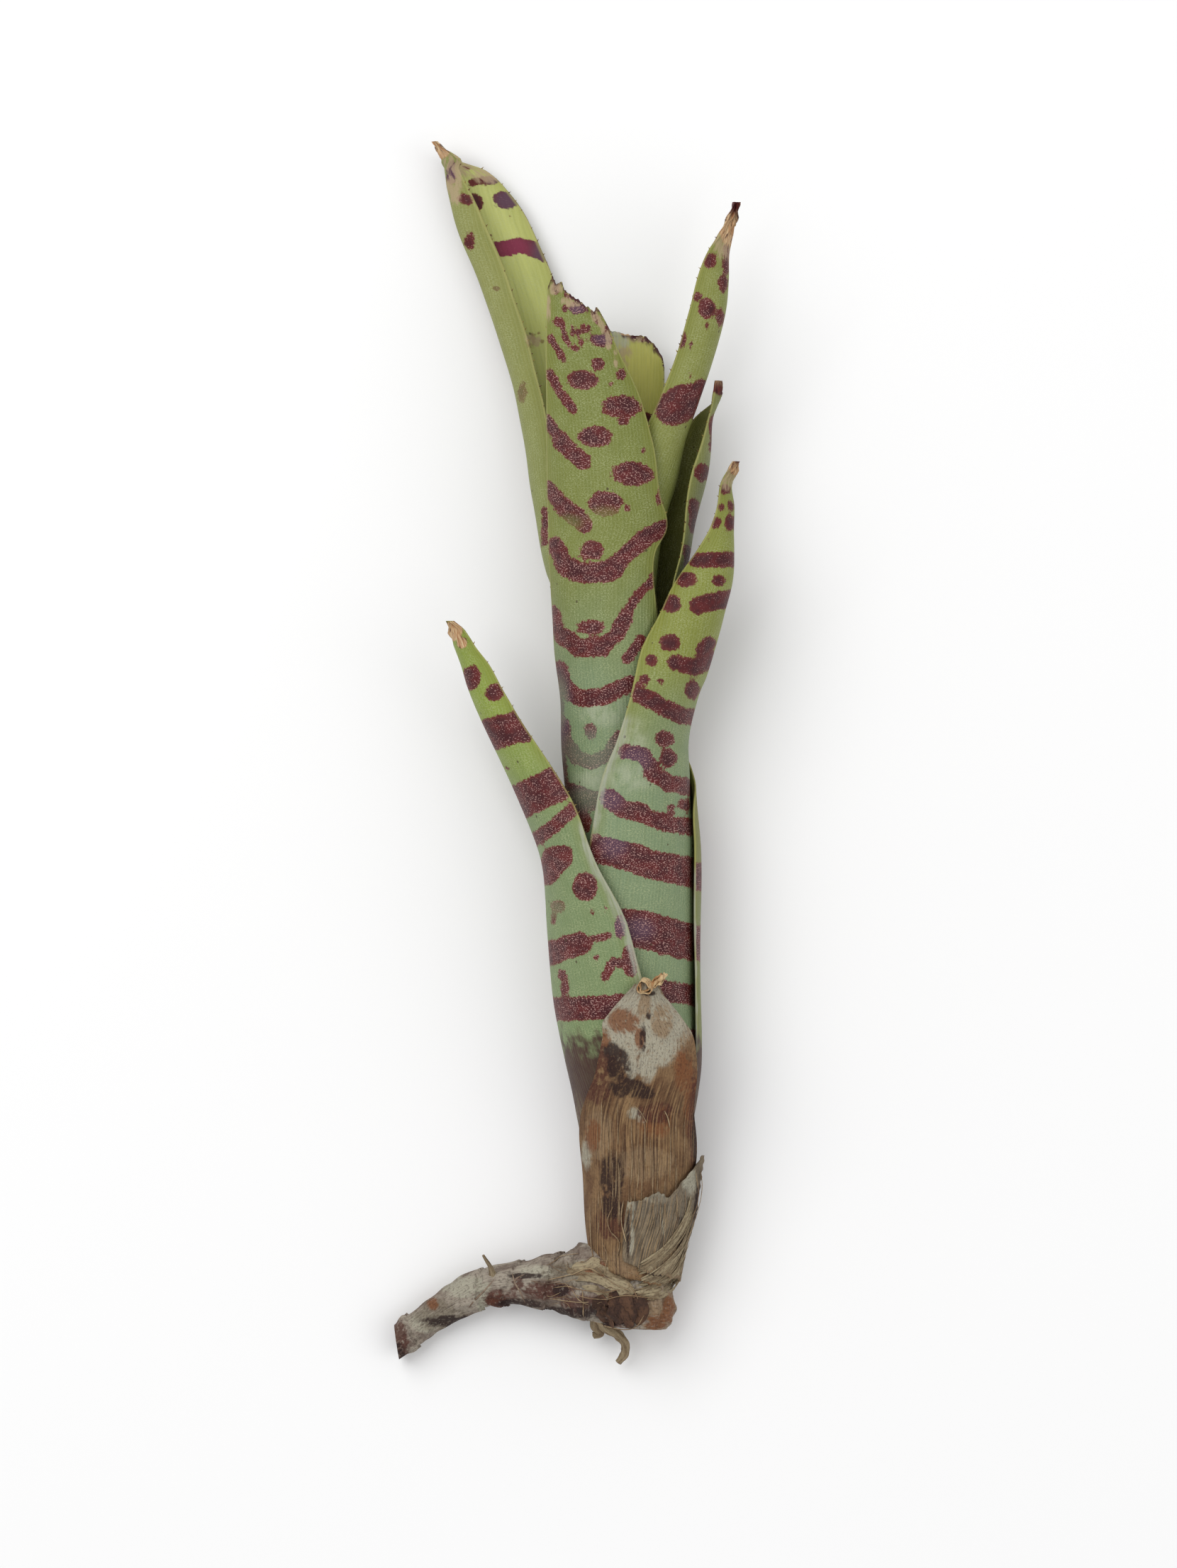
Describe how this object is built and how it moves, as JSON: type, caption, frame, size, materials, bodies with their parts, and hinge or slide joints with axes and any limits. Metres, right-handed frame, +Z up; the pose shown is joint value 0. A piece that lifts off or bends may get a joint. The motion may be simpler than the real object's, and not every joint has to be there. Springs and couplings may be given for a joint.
{
  "type": "neoregelia bromeliad offset",
  "caption": "Bare-rooted tubular bromeliad offset with banded, toothed leaves and a cut runner, laid down on its back leaf.",
  "frame": {"origin": "middle of the box's underside, on the surface that the plant lies on", "axes": "+Z up from the surface, +Y from the cut stem towards the leaf tips, +X to the side that the slim leaves lean to; the runner points to -X"},
  "size_m": [0.0585, 0.2085, 0.0259],
  "materials": {
    "leaf_upper_right": "satin",
    "leaf_inner_cut": "satin",
    "leaf_tall_left": "satin",
    "leaf_front_cut": "satin",
    "leaf_slim_right": "satin",
    "leaf_front_right": "satin",
    "leaf_back": "satin",
    "leaf_front_left": "satin",
    "papery_leaf": "matte",
    "torn_sheath": "matte",
    "stem_and_stolon": "matte"
  },
  "bodies": {
    "root": {"leaf_upper_right": "leaf_upper_right", "leaf_inner_cut": "leaf_inner_cut", "leaf_tall_left": "leaf_tall_left", "leaf_front_cut": "leaf_front_cut", "leaf_slim_right": "leaf_slim_right", "leaf_front_right": "leaf_front_right", "leaf_back": "leaf_back", "leaf_front_left": "leaf_front_left", "papery_leaf": "papery_leaf", "torn_sheath": "torn_sheath", "stem_and_stolon": "stem_and_stolon"}
  },
  "joints": []
}
